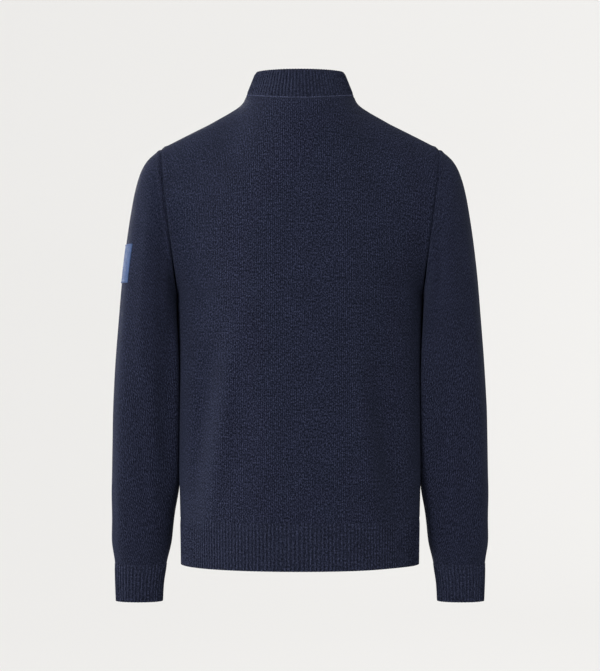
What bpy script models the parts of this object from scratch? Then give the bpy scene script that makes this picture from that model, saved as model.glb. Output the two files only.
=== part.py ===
"""A turtleneck sweater with a short standing collar, hollow and filled out as if worn, with no wearer.

Metres, +Z up. The front faces -Y and +X is the wearer's left. The origin is the middle of the neck
base, level with the inner ends of the shoulder seams: the place where shoulders hold the garment up.
Every piece is a wall of cloth between an outer and an inner surface worked out from the tables below.
"""

import math

import bmesh
import bpy
import numpy as np

# Cloth
JERSEY_WALL = 0.0022
RIB_WALL = 0.0022  # rib cloth, measured in its furrows
RIB_RELIEF = 0.0011  # height of a rib above its furrows
SEAM_GAP = 0.0003
HALF_GAP = SEAM_GAP / 2

# Body
HEM_Z = -0.6805
RIB_TOP_Z = -0.6125
ARMPIT_Z = -0.290
ARMPIT_X = 0.1785
SHOULDER_POINT = (0.2010, 0.006, -0.0768)  # outer end of the shoulder seam
ARMHOLE_DEPTH = 0.068  # how far the armhole reaches back and forward at mid height
ARMHOLE_CURVE = 3  # how soon it gets there

# Neck and collar
NECK_HALF_WIDTH = 0.0785
NECK_BACK_Y = 0.062
NECK_FRONT_Y = 0.072
NECK_BACK_DROP = 0.008
NECK_FRONT_DROP = 0.064
SCOOP = 1.5  # how late the neckline drops on its way to the middle of the front
COLLAR_TOP_HALF_WIDTH = 0.0640
COLLAR_TOP_BACK_Y = 0.049
COLLAR_TOP_FRONT_Y = 0.061
COLLAR_TOP_Z = 0.0355
COLLAR_FRONT_TOP_Z = -0.016
COLLAR_EDGE_ROLL = 0.0012  # the top edge rolls in by this much
ROLL_START = 0.88  # of the collar's height

# Roundness of the body
TORSO_POWER = 2.1  # of the superellipse: 2 is an ellipse, more is squarer
ROUND_UP = 2.3  # how squarely the cloth turns over towards the shoulder seam
ROUND_AT_NECK = 1.35  # it reaches the neckline on a slant instead
NECK_SPREAD = 0.3  # the slanting middle ends at this share of the panel's half width
SLIDE_POWER = 1.8  # how late, on the way up, a column moves across to its place on the top edge
NECK_POWER = 3.0  # how late the cloth takes on the neckline's roundness

# Mesh density
HALF_COLUMNS = 16  # from the middle of a panel to its side
NECK_COLUMNS = 7  # of those, under the neckline
COLUMN_SPREAD = 1.35  # over 1 crowds the columns along the shoulder seam towards the neck
BODY_ROWS = 8  # from the hem rib to the armpit
ARM_STEPS = 12  # along half of the armhole, and so round half of the sleeve
SLEEVE_ROWS = 18
SLEEVE_ROW_SPREAD = 1.1  # over 1 crowds them towards the armhole

# Ribs: how many there are, and how high they stand in each row of points, of RIB_RELIEF
HEM_RIBS = 100  # on the back, and again on the front
COLLAR_RIBS = 92
CUFF_RIBS = 42
HEM_ROW_RELIEF = (1.0, 1.0, 0.4)  # from the hem up
CUFF_ROW_RELIEF = (0.4, 1.0, 1.0)  # from the sleeve down
COLLAR_ROW_RELIEF = (0.0, 1.0, 1.0, 0.7)  # from the seam up
COLLAR_ROWS = (0.0, 0.2, ROLL_START, 1.0)  # of its height
RIB_FADE = 0.010  # height over which the ribs of the hem and cuffs rise out of the plain knit


def table(columns, *rows):
    """A dictionary of columns, from their names and the table's rows."""
    return dict(zip(columns.split(), np.array(rows).T))


# The torso's level sections. The depths run from the side seams back and forward.
TORSO = table(
    "z half_width back_depth front_depth",
    (-0.6805, 0.1727, 0.1180, 0.1120),
    (-0.6125, 0.1738, 0.1170, 0.1150),
    (-0.5600, 0.1751, 0.1140, 0.1180),
    (-0.4800, 0.1763, 0.1100, 0.1210),
    (-0.4000, 0.1773, 0.1100, 0.1240),
    (-0.3300, 0.1781, 0.1160, 0.1275),
    (-0.2900, 0.1785, 0.1172, 0.1282),
)

# The shoulder seam seen from behind, from the collar outwards.
SHOULDER = table(
    "x z",
    (0.0785, 0.0000),
    (0.0805, -0.0078),
    (0.0895, -0.0163),
    (0.1030, -0.0250),
    (0.1340, -0.0424),
    (0.1684, -0.0600),
    (0.2010, -0.0768),
)

# The left sleeve's stations, from the armhole to the end of the cuff. Each is a ring through a point on
# the overarm line and one on the underarm seam, with the same depth in front of mid_y and behind it.
SLEEVE = table(
    "over_x over_z under_x under_z mid_y depth",
    (0.2010, -0.0768, 0.1785, -0.2900, 0.0000, 0.0600),
    (0.2125, -0.0848, 0.1789, -0.2960, 0.0000, 0.0620),
    (0.2235, -0.0955, 0.1792, -0.3020, 0.0000, 0.0635),
    (0.2328, -0.1124, 0.1792, -0.3090, 0.0005, 0.0640),
    (0.2406, -0.1387, 0.1792, -0.3170, 0.0010, 0.0640),
    (0.2471, -0.1737, 0.1791, -0.3270, 0.0015, 0.0635),
    (0.2532, -0.2150, 0.1790, -0.3400, 0.0020, 0.0620),
    (0.2590, -0.2640, 0.1789, -0.3580, 0.0020, 0.0595),
    (0.2640, -0.3220, 0.1786, -0.3830, 0.0010, 0.0560),
    (0.2690, -0.3840, 0.1781, -0.4200, -0.0010, 0.0520),
    (0.2727, -0.4480, 0.1776, -0.4660, -0.0050, 0.0470),
    (0.2745, -0.5100, 0.1769, -0.5150, -0.0100, 0.0425),
    (0.2756, -0.5600, 0.1765, -0.5600, -0.0150, 0.0385),
    (0.2760, -0.6050, 0.1833, -0.6050, -0.0200, 0.0345),
    (0.2753, -0.6480, 0.1897, -0.6480, -0.0245, 0.0300),
    (0.2722, -0.6830, 0.1964, -0.6830, -0.0280, 0.0260),
    (0.2715, -0.7110, 0.2012, -0.7110, -0.0305, 0.0240),
    (0.2706, -0.7388, 0.2031, -0.7388, -0.0330, 0.0235),
)
CUFF_STATION = 15  # where the sleeve's rib starts
LAST_STATION = 17
ARMHOLE_FADE = 3.5  # stations over which the sleeve head leaves the armhole's own outline
SLEEVE_SQUARENESS = 0.86  # under 1 squares the sleeve's section
SLEEVE_CLEARANCE = 0.0005  # between the armhole's edge and the sleeve

# Soft troughs in the body, each from its top to its bottom end, on both sides of the middle.
FOLD_COLUMNS = "top_x top_z bottom_x bottom_z half_width depth"
BACK_FOLDS = table(
    FOLD_COLUMNS,
    (0.118, -0.300, 0.156, -0.640, 0.019, 0.0080),
    (0.150, -0.215, 0.128, -0.345, 0.014, 0.0030),
)
FRONT_FOLDS = table(
    FOLD_COLUMNS,
    (0.112, -0.330, 0.145, -0.640, 0.020, 0.0065),
    (0.150, -0.205, 0.118, -0.330, 0.015, 0.0035),
)

# The pressed ridge down the sleeve, behind its outer edge, and the softer one in front of it.
RIDGES = table(
    "angle half_width height",
    (math.radians(46), math.radians(15), 0.0030),
    (math.radians(-56), math.radians(20), 0.0016),
)
RIDGE_START, RIDGE_FULL, RIDGE_FALL, RIDGE_END = 4.0, 7.0, 13.0, 15.0  # stations

# The woven patch on the outside of the left sleeve
PATCH_Z = (-0.216, -0.272)
PATCH_ANGLES = (math.radians(-10), math.radians(46))
PATCH_CELLS = (6, 8)
PATCH_THICKNESS = 0.0008
PATCH_LIFT = 0.0004

STEP = 1e-3  # for slopes
ANY_TURN = (-3 * math.pi, 3 * math.pi)

NAVY = (0.018, 0.023, 0.042)
NAVY_RIB = (0.020, 0.026, 0.045)
PATCH_BLUE = (0.070, 0.130, 0.300)
KNIT_ROUGHNESS = 0.9
PATCH_ROUGHNESS = 0.7


def smoothstep(value):
    value = np.clip(value, 0.0, 1.0)
    return value * value * (3.0 - 2.0 * value)


def unit(vectors):
    return vectors / np.linalg.norm(vectors, axis=-1, keepdims=True)


def along(column, station):
    """A smooth curve through a table's column, read at a station: 0 is its first row and 1 the next."""
    station = np.clip(station, 0.0, len(column) - 1.0)
    low = np.minimum(station.astype(int), len(column) - 2)
    part = station - low
    slope = np.gradient(column)
    blend = part**2 * (3 - 2 * part)
    bend_in = part * (1 - part) ** 2 * slope[low]
    bend_out = part**2 * (part - 1) * slope[low + 1]
    return column[low] * (1 - blend) + column[low + 1] * blend + bend_in + bend_out


def torso_at(name, z):
    """A column of the torso's table at height z."""
    return along(TORSO[name], np.interp(z, TORSO["z"], np.arange(len(TORSO["z"]))))


def depth_at(side, z):
    return torso_at("back_depth" if side > 0 else "front_depth", z)


def fold_depth(side, x, z):
    """How far the body's troughs push the cloth in at x and z."""
    folds = BACK_FOLDS if side > 0 else FRONT_FOLDS
    total = np.zeros_like(x)
    for top_x, top_z, bottom_x, bottom_z, half_width, depth in zip(*folds.values()):
        part = np.clip((top_z - z) / (top_z - bottom_z), 0.0, 1.0)
        centre = top_x + (bottom_x - top_x) * part
        across = (np.abs(x) - centre) / half_width
        total += depth * np.sin(math.pi * part) * np.exp(-(across**2))
    return total


def torso_below(side, u, z):
    """The torso under the armpit. side is 1 at the back and -1 in front, and u runs from -1 to 1 across."""
    angle = u * math.pi / 2
    x = torso_at("half_width", z) * np.sign(angle) * np.abs(np.sin(angle)) ** (2 / TORSO_POWER)
    y = depth_at(side, z) * np.abs(np.cos(angle)) ** (2 / TORSO_POWER)
    y = y - fold_depth(side, x, z) * np.cos(angle)
    return np.stack([x, side * y, z + 0 * x], axis=-1)


def top_edge(side, u):
    """The panel's top: half the neckline in the middle, and a shoulder seam on either side of it."""
    neck_share = NECK_COLUMNS / HALF_COLUMNS
    reach = np.abs(u)
    turn = np.minimum(reach / neck_share, 1.0) * math.pi / 2
    neck = neckline(turn if side > 0 else math.pi - turn)
    out = np.clip((reach - neck_share) / (1 - neck_share), 0.0, 1.0) ** COLUMN_SPREAD
    seam_x = NECK_HALF_WIDTH + (SHOULDER_POINT[0] - NECK_HALF_WIDTH) * out
    seam_z = np.interp(seam_x, SHOULDER["x"], SHOULDER["z"])
    on_neck = reach < neck_share
    x = np.sign(u) * np.where(on_neck, neck[..., 0], seam_x)
    y = np.where(on_neck, neck[..., 1], SHOULDER_POINT[1] * out)
    z = np.where(on_neck, neck[..., 2], seam_z)
    return np.stack([x, y, z], axis=-1)


def neckline(turn):
    """The collar's seam, by the angle from the middle of the back."""
    back = np.maximum(np.cos(turn), 0.0)
    front = np.maximum(-np.cos(turn), 0.0)
    x = NECK_HALF_WIDTH * np.sin(turn)
    y = NECK_BACK_Y * back - NECK_FRONT_Y * front
    z = -NECK_BACK_DROP * back**2 - NECK_FRONT_DROP * front**SCOOP
    return np.stack([x, y, z], axis=-1)


def panel_neck_edge(turn):
    """The neckline as the panels' meshes have it, in straight steps from column to column."""
    step = math.pi / 2 / NECK_COLUMNS
    low = np.floor(turn / step) * step
    part = ((turn - low) / step)[..., None]
    return neckline(low) * (1 - part) + neckline(low + step) * part


def torso_above(side, u, t):
    """The torso from the armpit (t = 0) to the shoulder seam and neckline (t = 1), cut out at the armhole."""
    top = top_edge(side, u)
    depth = depth_at(side, np.array(ARMPIT_Z))
    edge_y = ARMHOLE_DEPTH * np.sqrt(1 - (1 - np.minimum(2 * t, 1.0)) ** ARMHOLE_CURVE)
    edge_x = ARMPIT_X + (SHOULDER_POINT[0] - ARMPIT_X) * t
    last_angle = np.arccos((edge_y / depth) ** (TORSO_POWER / 2))
    angle = u * last_angle
    across = np.abs(np.sin(angle) / np.sin(last_angle)) ** (2 / TORSO_POWER)
    wall_x = np.sign(u) * edge_x * across
    wall_y = depth * np.cos(angle) ** (2 / TORSO_POWER)
    out = smoothstep((np.abs(u) - NECK_SPREAD) / (1 - NECK_SPREAD))
    roundness = ROUND_AT_NECK + (ROUND_UP - ROUND_AT_NECK) * out
    turn = t * math.pi / 2
    rise = np.sin(turn) ** (2 / ROUND_UP)
    keep = np.maximum(np.cos(turn), 0.0) ** (2 / roundness)
    z = ARMPIT_Z + (top[..., 2] - ARMPIT_Z) * rise
    x = wall_x + (top[..., 0] - wall_x) * rise**SLIDE_POWER
    wall_y = wall_y - fold_depth(side, x, z) * np.cos(u * math.pi / 2)
    y = wall_y * keep + side * top[..., 1] * rise**NECK_POWER
    return np.stack([x, side * y, z], axis=-1)


def torso(side, u, v):
    """The whole torso: v is 0 at the top of the hem rib, 1 at the armpit and 2 at the shoulder."""
    u, v = np.broadcast_arrays(u, v)
    z = RIB_TOP_Z + (ARMPIT_Z - RIB_TOP_Z) * np.minimum(v, 1.0)
    below = torso_below(side, u, z)
    above = torso_above(side, u, np.clip(v - 1.0, 0.0, 1.0))
    return np.where((v <= 1.0)[..., None], below, above)


def armhole_share(angle):
    """The height t of the armhole's edge at an angle round the sleeve, from 0 at the shoulder to pi below."""
    share = np.clip((1 + np.cos(angle)) / 2, 0.0, 1.0)
    return np.arcsin(share ** (ROUND_UP / 2)) / (math.pi / 2)


def plain_ring(station, angle):
    """The sleeve's ring before the armhole's outline and the ridges are added, and its centre."""
    row = {name: along(column, station) for name, column in SLEEVE.items()}
    centre_x = (row["over_x"] + row["under_x"]) / 2
    centre_z = (row["over_z"] + row["under_z"]) / 2
    bulge = np.sign(np.sin(angle)) * np.abs(np.sin(angle)) ** SLEEVE_SQUARENESS
    x = centre_x + (row["over_x"] - row["under_x"]) / 2 * np.cos(angle)
    y = row["mid_y"] + row["depth"] * bulge
    z = centre_z + (row["over_z"] - row["under_z"]) / 2 * np.cos(angle)
    return np.stack([x, y, z], axis=-1), np.stack([centre_x, row["mid_y"], centre_z], axis=-1)


def armhole(angle):
    """The armhole's edge, by the angle round the sleeve."""
    share = armhole_share(angle)
    edge = np.ones_like(share)
    behind = (np.sin(angle) >= 0)[..., None]
    return np.where(behind, torso_above(1, edge, share), torso_above(-1, edge, share))


def ridge_height(station, angle):
    wrapped = np.arctan2(np.sin(angle), np.cos(angle))
    total = np.zeros_like(station)
    for ridge_angle, half_width, height in zip(*RIDGES.values()):
        total += height * np.exp(-(((wrapped - ridge_angle) / half_width) ** 2))
    rise = smoothstep((station - RIDGE_START) / (RIDGE_FULL - RIDGE_START))
    fall = smoothstep((RIDGE_END - station) / (RIDGE_END - RIDGE_FALL))
    return total * rise * fall


def sleeve(station, angle):
    """The left sleeve. The angle is 0 on the overarm line, positive towards the back, and pi at the underarm."""
    station, angle = np.broadcast_arrays(np.asarray(station, float), np.asarray(angle, float))
    points, centre = plain_ring(station, angle)
    start, _ = plain_ring(np.zeros_like(station), angle)
    to_armhole = armhole(angle) + np.array([SLEEVE_CLEARANCE, 0.0, 0.0]) - start
    points = points + to_armhole * (1 - smoothstep(station / ARMHOLE_FADE))[..., None]
    return points + unit(points - centre) * ridge_height(station, angle)[..., None]


def collar(height, turn):
    """The collar's outer surface: height is 0 at its seam and 1 at its top edge."""
    height, turn = np.broadcast_arrays(np.asarray(height, float), np.asarray(turn, float))
    base = panel_neck_edge(turn)
    back = np.maximum(np.cos(turn), 0.0)
    front = np.maximum(-np.cos(turn), 0.0)
    top_x = COLLAR_TOP_HALF_WIDTH * np.sin(turn)
    top_y = COLLAR_TOP_BACK_Y * back - COLLAR_TOP_FRONT_Y * front
    top_z = COLLAR_TOP_Z + (COLLAR_FRONT_TOP_Z - COLLAR_TOP_Z) * front**SCOOP
    top = np.stack([top_x, top_y, top_z], axis=-1)
    points = base + (top - base) * height[..., None]
    roll = COLLAR_EDGE_ROLL * np.maximum(height - ROLL_START, 0.0) / (1 - ROLL_START)
    inward = -np.stack([np.sin(turn), np.cos(turn), 0 * turn], axis=-1)
    return points + inward * roll[..., None]


def outward_normals(surface, first, second, first_range, second_range):
    """Unit normals of surface(first, second), from small steps that stay inside both ranges."""
    first_low = np.maximum(first - STEP, first_range[0])
    first_high = np.minimum(first + STEP, first_range[1])
    second_low = np.maximum(second - STEP, second_range[0])
    second_high = np.minimum(second + STEP, second_range[1])
    along_first = surface(first_high, second) - surface(first_low, second)
    along_second = surface(first, second_high) - surface(first, second_low)
    return unit(np.cross(along_first, along_second))


def torso_normals(side, u, v):
    return outward_normals(lambda a, b: torso(side, a, b), u, v, (-1, 1), (0, 2)) * -side


def sleeve_normals(station, angle):
    return outward_normals(sleeve, station, angle, (0, LAST_STATION), ANY_TURN)


def collar_normals(height, turn):
    height, turn = np.broadcast_arrays(np.asarray(height, float), np.asarray(turn, float))
    return outward_normals(collar, height, turn, (0, 1), ANY_TURN)


def shared_at_seam(own, other):
    """The normal at a seam: the mean of both sides where they face alike, and a piece's own where they fold."""
    alike = smoothstep(0.5 + np.sum(own * other, axis=-1))
    return unit(own + other * alike[..., None])


def pull_back(points, edge, inside, amount):
    """Moves one edge row of a grid of points towards the row inside it by a fixed distance."""
    points[edge] = points[edge] + unit(points[inside] - points[edge]) * amount


def link(name, mesh_builder, colour, roughness):
    """Makes an object of a bmesh, with a material of its own."""
    mesh = bpy.data.meshes.new(name)
    mesh_builder.to_mesh(mesh)
    mesh_builder.free()
    mesh.shade_smooth()
    mesh.set_sharp_from_angle(angle=math.radians(50))
    material = bpy.data.materials.new(name)
    material.use_nodes = True
    shader = material.node_tree.nodes["Principled BSDF"]
    shader.inputs["Base Color"].default_value = (*colour, 1.0)
    shader.inputs["Roughness"].default_value = roughness
    shader.inputs["Metallic"].default_value = 0.0
    mesh.materials.append(material)
    made = bpy.data.objects.new(name, mesh)
    garment.objects.link(made)
    return made


def add_grid(builder, points, closed):
    """Adds a grid of vertices. A closed grid has no repeated last column."""
    rows = [[builder.verts.new(point) for point in row] for row in points]
    return [row + [row[0]] for row in rows] if closed else rows


def face_grid(builder, rows, flip):
    """Fills a grid of vertices with quads."""
    for low, high in zip(rows, rows[1:]):
        for i in range(len(low) - 1):
            corners = (low[i], low[i + 1], high[i + 1], high[i])
            builder.faces.new(corners[::-1] if flip else corners)


def face_rim(builder, outer, inner, flip):
    """Joins an edge of the outer surface to the same edge of the inner one, which has as many or half the points."""
    ratio = (len(outer) - 1) // (len(inner) - 1)
    for i in range(len(inner) - 1):
        crest = outer[i * ratio : (i + 1) * ratio + 1]
        if ratio == 1:
            shapes = [(crest[0], crest[1], inner[i + 1], inner[i])]
        else:
            shapes = [(inner[i], crest[0], crest[1]), (inner[i], crest[1], inner[i + 1])]
            shapes.append((inner[i + 1], crest[1], crest[2]))
        for shape in shapes:
            builder.faces.new(shape[::-1] if flip else shape)


def face_side(builder, outer, inner, flip):
    """Closes one side of a wall: in quads, or as one flat face where the inner surface has fewer rows."""
    if len(outer) == len(inner):
        face_rim(builder, outer, inner, flip)
    else:
        corners = outer + inner[::-1]
        builder.faces.new(corners if flip else corners[::-1])


def wall(outer, inner, closed):
    """A wall of cloth between two grids of points. The inner one may have half the columns and fewer rows."""
    builder = bmesh.new()
    outer_rows = add_grid(builder, outer, closed)
    inner_rows = add_grid(builder, inner, closed)
    face_grid(builder, outer_rows, flip=False)
    face_grid(builder, inner_rows, flip=True)
    face_rim(builder, outer_rows[0], inner_rows[0], flip=True)
    face_rim(builder, outer_rows[-1], inner_rows[-1], flip=False)
    if not closed:
        face_side(builder, [row[0] for row in outer_rows], [row[0] for row in inner_rows], flip=False)
        face_side(builder, [row[-1] for row in outer_rows], [row[-1] for row in inner_rows], flip=True)
    bmesh.ops.recalc_face_normals(builder, faces=builder.faces)
    return builder


def ribbed(base, normals, strengths):
    """Raises every second column of a grid of points. Each row has its own strength."""
    relief = np.zeros(base.shape[:2])
    relief[:, 1::2] = RIB_RELIEF
    relief *= np.array(strengths)[:, None]
    return base + normals * relief[..., None]


def armhole_normals(angle):
    """The torso's and the sleeve's normals where they meet, by the angle round the sleeve."""
    v = 1.0 + armhole_share(angle)
    edge = np.ones_like(v)
    behind = (np.sin(angle) >= 0)[..., None]
    body = np.where(behind, torso_normals(1, edge, v), torso_normals(-1, edge, v))
    return body, sleeve_normals(np.zeros_like(angle), angle)


def panel_rows():
    """The heights v of a panel's rows. Above the armpit they meet the points of the sleeve's first ring."""
    body = np.linspace(0.0, 1.0, BODY_ROWS + 1)
    angles = np.linspace(math.pi, 0.0, ARM_STEPS + 1)
    return np.concatenate([body, 1.0 + armhole_share(angles[1:])])


def top_neighbours(side, u, v):
    """Along a panel's top edge, the normals of what it is sewn to: the other panel, or the collar."""
    neck_share = NECK_COLUMNS / HALF_COLUMNS
    turn = np.minimum(np.abs(u) / neck_share, 1.0) * math.pi / 2
    turn = np.sign(u) * (turn if side > 0 else math.pi - turn)
    on_shoulder = (np.abs(u) > neck_share)[:, None]
    return np.where(on_shoulder, torso_normals(-side, u, v), collar_normals(0.0, turn))


def make_panel(name, side):
    """The back (side 1) or the front (side -1), from the hem rib up."""
    u = np.linspace(-1.0, 1.0, 2 * HALF_COLUMNS + 1)[None, :]
    u, v = np.broadcast_arrays(u, panel_rows()[:, None])
    outer = torso(side, u, v)
    normals = torso_normals(side, u, v)
    normals[-1] = shared_at_seam(normals[-1], top_neighbours(side, u[-1], v[-1]))
    up_the_armhole = side * np.linspace(math.pi, 0.0, ARM_STEPS + 1)[:-1]
    at_armhole = shared_at_seam(*armhole_normals(up_the_armhole))
    normals[BODY_ROWS:-1, -1] = at_armhole
    normals[BODY_ROWS:-1, 0] = at_armhole * np.array([-1.0, 1.0, 1.0])

    side_seam = slice(0, BODY_ROWS + 1)
    pull_back(outer, (side_seam, 0), (side_seam, 1), HALF_GAP)
    pull_back(outer, (side_seam, -1), (side_seam, -2), HALF_GAP)
    pull_back(outer, -1, -2, HALF_GAP)
    outer[0, :, 2] += HALF_GAP
    inner = outer - normals * JERSEY_WALL
    inner[0, :, 2] = outer[0, :, 2]
    return link(name, wall(outer, inner, closed=False), NAVY, KNIT_ROUGHNESS)


def make_hem(name, side):
    """The rib at the bottom of the back (side 1) or front (side -1)."""
    u = np.linspace(-1.0, 1.0, 2 * HEM_RIBS + 1)[None, :]
    heights = np.array([HEM_Z, RIB_TOP_Z - RIB_FADE, RIB_TOP_Z - HALF_GAP])[:, None]
    u, z = np.broadcast_arrays(u, heights)
    base = torso_below(side, u, z)
    surface_range = (HEM_Z, RIB_TOP_Z)
    normals = outward_normals(lambda a, b: torso_below(side, a, b), u, z, (-1, 1), surface_range) * -side
    pull_back(base, (slice(None), 0), (slice(None), 1), HALF_GAP)
    pull_back(base, (slice(None), -1), (slice(None), -2), HALF_GAP)
    outer = ribbed(base, normals, HEM_ROW_RELIEF)
    outer[..., 2] = z
    inner = (base - normals * RIB_WALL)[::2, ::2]
    inner[..., 2] = z[::2, ::2]
    return link(name, wall(outer, inner, closed=False), NAVY_RIB, KNIT_ROUGHNESS)


def sleeve_grid():
    """The outer points and normals of the left sleeve."""
    angles = np.linspace(0.0, 2 * math.pi, 2 * ARM_STEPS, endpoint=False)[None, :]
    stations = CUFF_STATION * np.linspace(0.0, 1.0, SLEEVE_ROWS + 1)[:, None] ** SLEEVE_ROW_SPREAD
    stations, angles = np.broadcast_arrays(stations, angles)
    normals = sleeve_normals(stations, angles)
    body, arm = armhole_normals(np.arctan2(np.sin(angles[0]), np.cos(angles[0])))
    normals[0] = shared_at_seam(arm, body)
    return sleeve(stations, angles), normals


def make_sleeve(name):
    """The left sleeve, from the armhole to the cuff rib."""
    outer, normals = sleeve_grid()
    pull_back(outer, -1, -2, HALF_GAP)
    return link(name, wall(outer, outer - normals * JERSEY_WALL, closed=True), NAVY, KNIT_ROUGHNESS)


def make_cuff(name):
    """The rib at the end of the left sleeve."""
    angles = math.pi / CUFF_RIBS * np.arange(2 * CUFF_RIBS)[None, :]
    fade = RIB_FADE / (SLEEVE["over_z"][CUFF_STATION] - SLEEVE["over_z"][CUFF_STATION + 1])
    stations = np.array([CUFF_STATION, CUFF_STATION + fade, LAST_STATION])[:, None]
    stations, angles = np.broadcast_arrays(stations, angles)
    base = sleeve(stations, angles)
    normals = sleeve_normals(stations, angles)
    pull_back(base, 0, 1, HALF_GAP)
    outer = ribbed(base, normals, CUFF_ROW_RELIEF)
    inner = (base - normals * RIB_WALL)[::2, ::2]
    return link(name, wall(outer, inner, closed=True), NAVY_RIB, KNIT_ROUGHNESS)


def make_collar(name):
    """The standing rib collar, one ring."""
    turns = math.pi / COLLAR_RIBS * np.arange(2 * COLLAR_RIBS)[None, :]
    heights, turns = np.broadcast_arrays(np.array(COLLAR_ROWS)[:, None], turns)
    base = collar(heights, turns)
    normals = collar_normals(heights, turns)
    pull_back(base, 0, 1, SEAM_GAP)
    outer = ribbed(base, normals, COLLAR_ROW_RELIEF)
    inner = (base - normals * RIB_WALL)[::3, ::2]
    return link(name, wall(outer, inner, closed=True), NAVY_RIB, KNIT_ROUGHNESS)


def make_patch(name):
    """The plain woven patch sewn flat on the outside of the left upper sleeve."""
    heights = np.linspace(*PATCH_Z, PATCH_CELLS[0] + 1)
    angles = np.linspace(*PATCH_ANGLES, PATCH_CELLS[1] + 1)
    search = np.linspace(ARMHOLE_FADE, CUFF_STATION, 200)
    fall = [-sleeve(search, angle)[:, 2] for angle in angles]
    stations = np.array([[np.interp(-z, down, search) for down in fall] for z in heights])
    angles = np.broadcast_to(angles, stations.shape)
    normals = sleeve_normals(stations, angles)
    under = sleeve(stations, angles) + normals * PATCH_LIFT
    over = under + normals * PATCH_THICKNESS
    return link(name, wall(over, under, closed=False), PATCH_BLUE, PATCH_ROUGHNESS)


def mirrored(source, name, colour):
    """The same piece on the wearer's right."""
    builder = bmesh.new()
    builder.from_mesh(source.data)
    bmesh.ops.scale(builder, vec=(-1, 1, 1), verts=builder.verts)
    bmesh.ops.reverse_faces(builder, faces=builder.faces)
    return link(name, builder, colour, KNIT_ROUGHNESS)


for old in list(bpy.data.objects):
    bpy.data.objects.remove(old, do_unlink=True)
garment = bpy.data.collections.new("turtleneck_sweater")
bpy.context.scene.collection.children.link(garment)

make_panel("back_panel", 1)
make_panel("front_panel", -1)
make_hem("hem_back", 1)
make_hem("hem_front", -1)
make_collar("collar")
mirrored(make_sleeve("sleeve_left"), "sleeve_right", NAVY)
mirrored(make_cuff("cuff_left"), "cuff_right", NAVY_RIB)
make_patch("sleeve_patch")
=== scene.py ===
"""A turtleneck sweater seen from behind: its knit cloth, ribs and seams, in a plain studio. Metres."""

import math
from functools import partial

import bmesh
import bpy
import numpy as np
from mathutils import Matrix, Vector


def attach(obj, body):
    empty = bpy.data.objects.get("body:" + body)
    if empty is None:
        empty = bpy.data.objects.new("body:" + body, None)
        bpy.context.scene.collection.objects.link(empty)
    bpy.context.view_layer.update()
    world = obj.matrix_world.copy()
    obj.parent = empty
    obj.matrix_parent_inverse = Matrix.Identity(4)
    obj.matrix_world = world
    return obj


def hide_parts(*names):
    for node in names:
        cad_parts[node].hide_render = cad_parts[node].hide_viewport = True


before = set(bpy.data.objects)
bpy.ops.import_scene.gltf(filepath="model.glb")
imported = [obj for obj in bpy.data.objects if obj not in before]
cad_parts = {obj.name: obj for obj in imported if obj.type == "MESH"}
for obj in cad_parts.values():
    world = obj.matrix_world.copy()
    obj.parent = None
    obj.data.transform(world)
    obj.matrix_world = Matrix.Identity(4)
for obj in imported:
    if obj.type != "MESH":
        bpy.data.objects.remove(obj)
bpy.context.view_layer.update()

# Cloth, with the same sizes and form as the solids
JERSEY_WALL = 0.0022
RIB_WALL = 0.0022
RIB_RELIEF = 0.0011
SEAM_GAP = 0.0003
HALF_GAP = SEAM_GAP / 2
HEM_Z = -0.6805
RIB_TOP_Z = -0.6125
ARMPIT_Z = -0.290
ARMPIT_X = 0.1785
SHOULDER_POINT = (0.2010, 0.006, -0.0768)
ARMHOLE_DEPTH = 0.068
ARMHOLE_CURVE = 3
NECK_HALF_WIDTH = 0.0785
NECK_BACK_Y = 0.062
NECK_FRONT_Y = 0.072
NECK_BACK_DROP = 0.008
NECK_FRONT_DROP = 0.064
SCOOP = 1.5  # how late the front neckline falls
COLLAR_TOP_HALF_WIDTH = 0.0640
COLLAR_TOP_BACK_Y = 0.049
COLLAR_TOP_FRONT_Y = 0.061
COLLAR_TOP_Z = 0.0355
COLLAR_FRONT_TOP_Z = -0.016
COLLAR_EDGE_ROLL = 0.0012
ROLL_START = 0.88
TORSO_POWER = 2.1  # of the outline across the torso, where 2 is an ellipse
ROUND_UP = 2.3  # of the curve over the shoulder, in the same way
ROUND_AT_NECK = 1.35
NECK_SPREAD = 0.3  # of half a panel's width, rounded as at the neck
SLIDE_POWER = 1.8  # how late a column leans towards its place in the top edge
NECK_POWER = 3.0  # how late it reaches the top edge's own depth
NECK_SHARE = 7 / 16  # of a panel's half width, under the neckline
NECK_STEPS = 7
COLUMN_SPREAD = 1.35  # columns stand closer near the neck's corner
SLEEVE_ROW_SPREAD = 1.1  # rows stand closer near the armhole
HEM_RIBS = 100
COLLAR_RIBS = 92
CUFF_RIBS = 42
RIB_ROUNDNESS = 0.75  # below 1 the crests are broad and the furrows narrow
RIB_FADE = 0.010  # the height over which a rib rises from its seam
RIB_AT_SEAM = 0.35  # of its relief, where a rib runs into the jersey
RIB_INSIDE = 0.6  # of its relief, that the inside follows
COLLAR_FADE = 0.2  # of its height, over which its ribs rise
COLLAR_EDGE_EASE = 0.3  # of its relief, lost at the top edge

# Mesh density
PANEL_HALF_COLUMNS = 64
BODY_ROWS = 88
ARM_STEPS = 60
SLEEVE_ROWS = 150
RIB_COLUMNS = 8  # per rib
SOFT_ROWS = 16  # over which the easing of a panel fades in
SOFT_PASSES = 90
HEM_ROWS = 12
CUFF_ROWS = 12
COLLAR_ROWS = 16


def table(columns, *rows):
    """A dictionary of columns, from their names and the table's rows."""
    return dict(zip(columns.split(), np.array(rows).T))


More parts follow.
